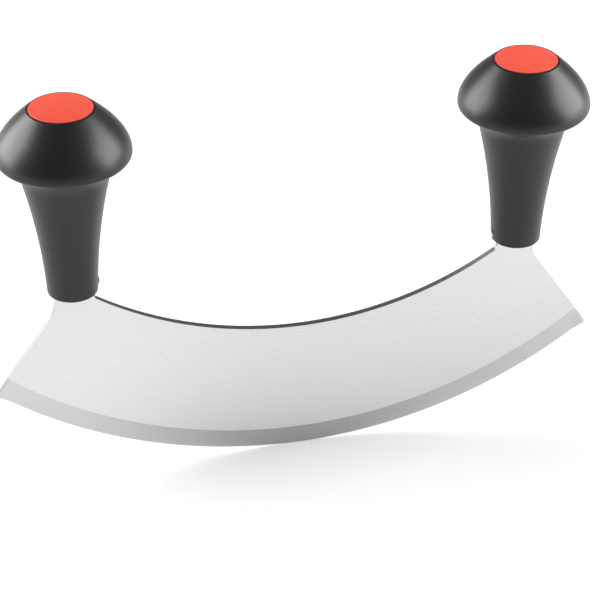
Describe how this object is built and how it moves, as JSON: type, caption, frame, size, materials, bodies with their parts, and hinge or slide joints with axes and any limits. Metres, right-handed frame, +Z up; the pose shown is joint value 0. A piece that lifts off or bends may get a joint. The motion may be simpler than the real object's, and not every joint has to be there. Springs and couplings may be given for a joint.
{
  "type": "mezzaluna",
  "caption": "Single-blade mezzaluna: a crescent steel blade ground on both faces, with upright black mushroom handles pinned on tangs at its ends and red disc caps.",
  "frame": {"origin": "lowest point of the curved cutting edge, in the middle of the blade's thickness", "axes": "+X along the blade from tip to tip, +Y through the blade's thickness away from the side first seen, +Z up along the handles"},
  "size_m": [0.229, 0.0484, 0.1581],
  "materials": {
    "blade_steel": "fine satin with a ground bevel",
    "handle_plastic": "satin moulded",
    "cap_plastic": "soft gloss moulded",
    "pin_steel": "polished end"
  },
  "bodies": {
    "root": {"blade": "blade_steel", "handle_left": "handle_plastic", "handle_right": "handle_plastic", "cap_left": "cap_plastic", "cap_right": "cap_plastic", "pin_left": "pin_steel", "pin_right": "pin_steel"}
  },
  "joints": []
}
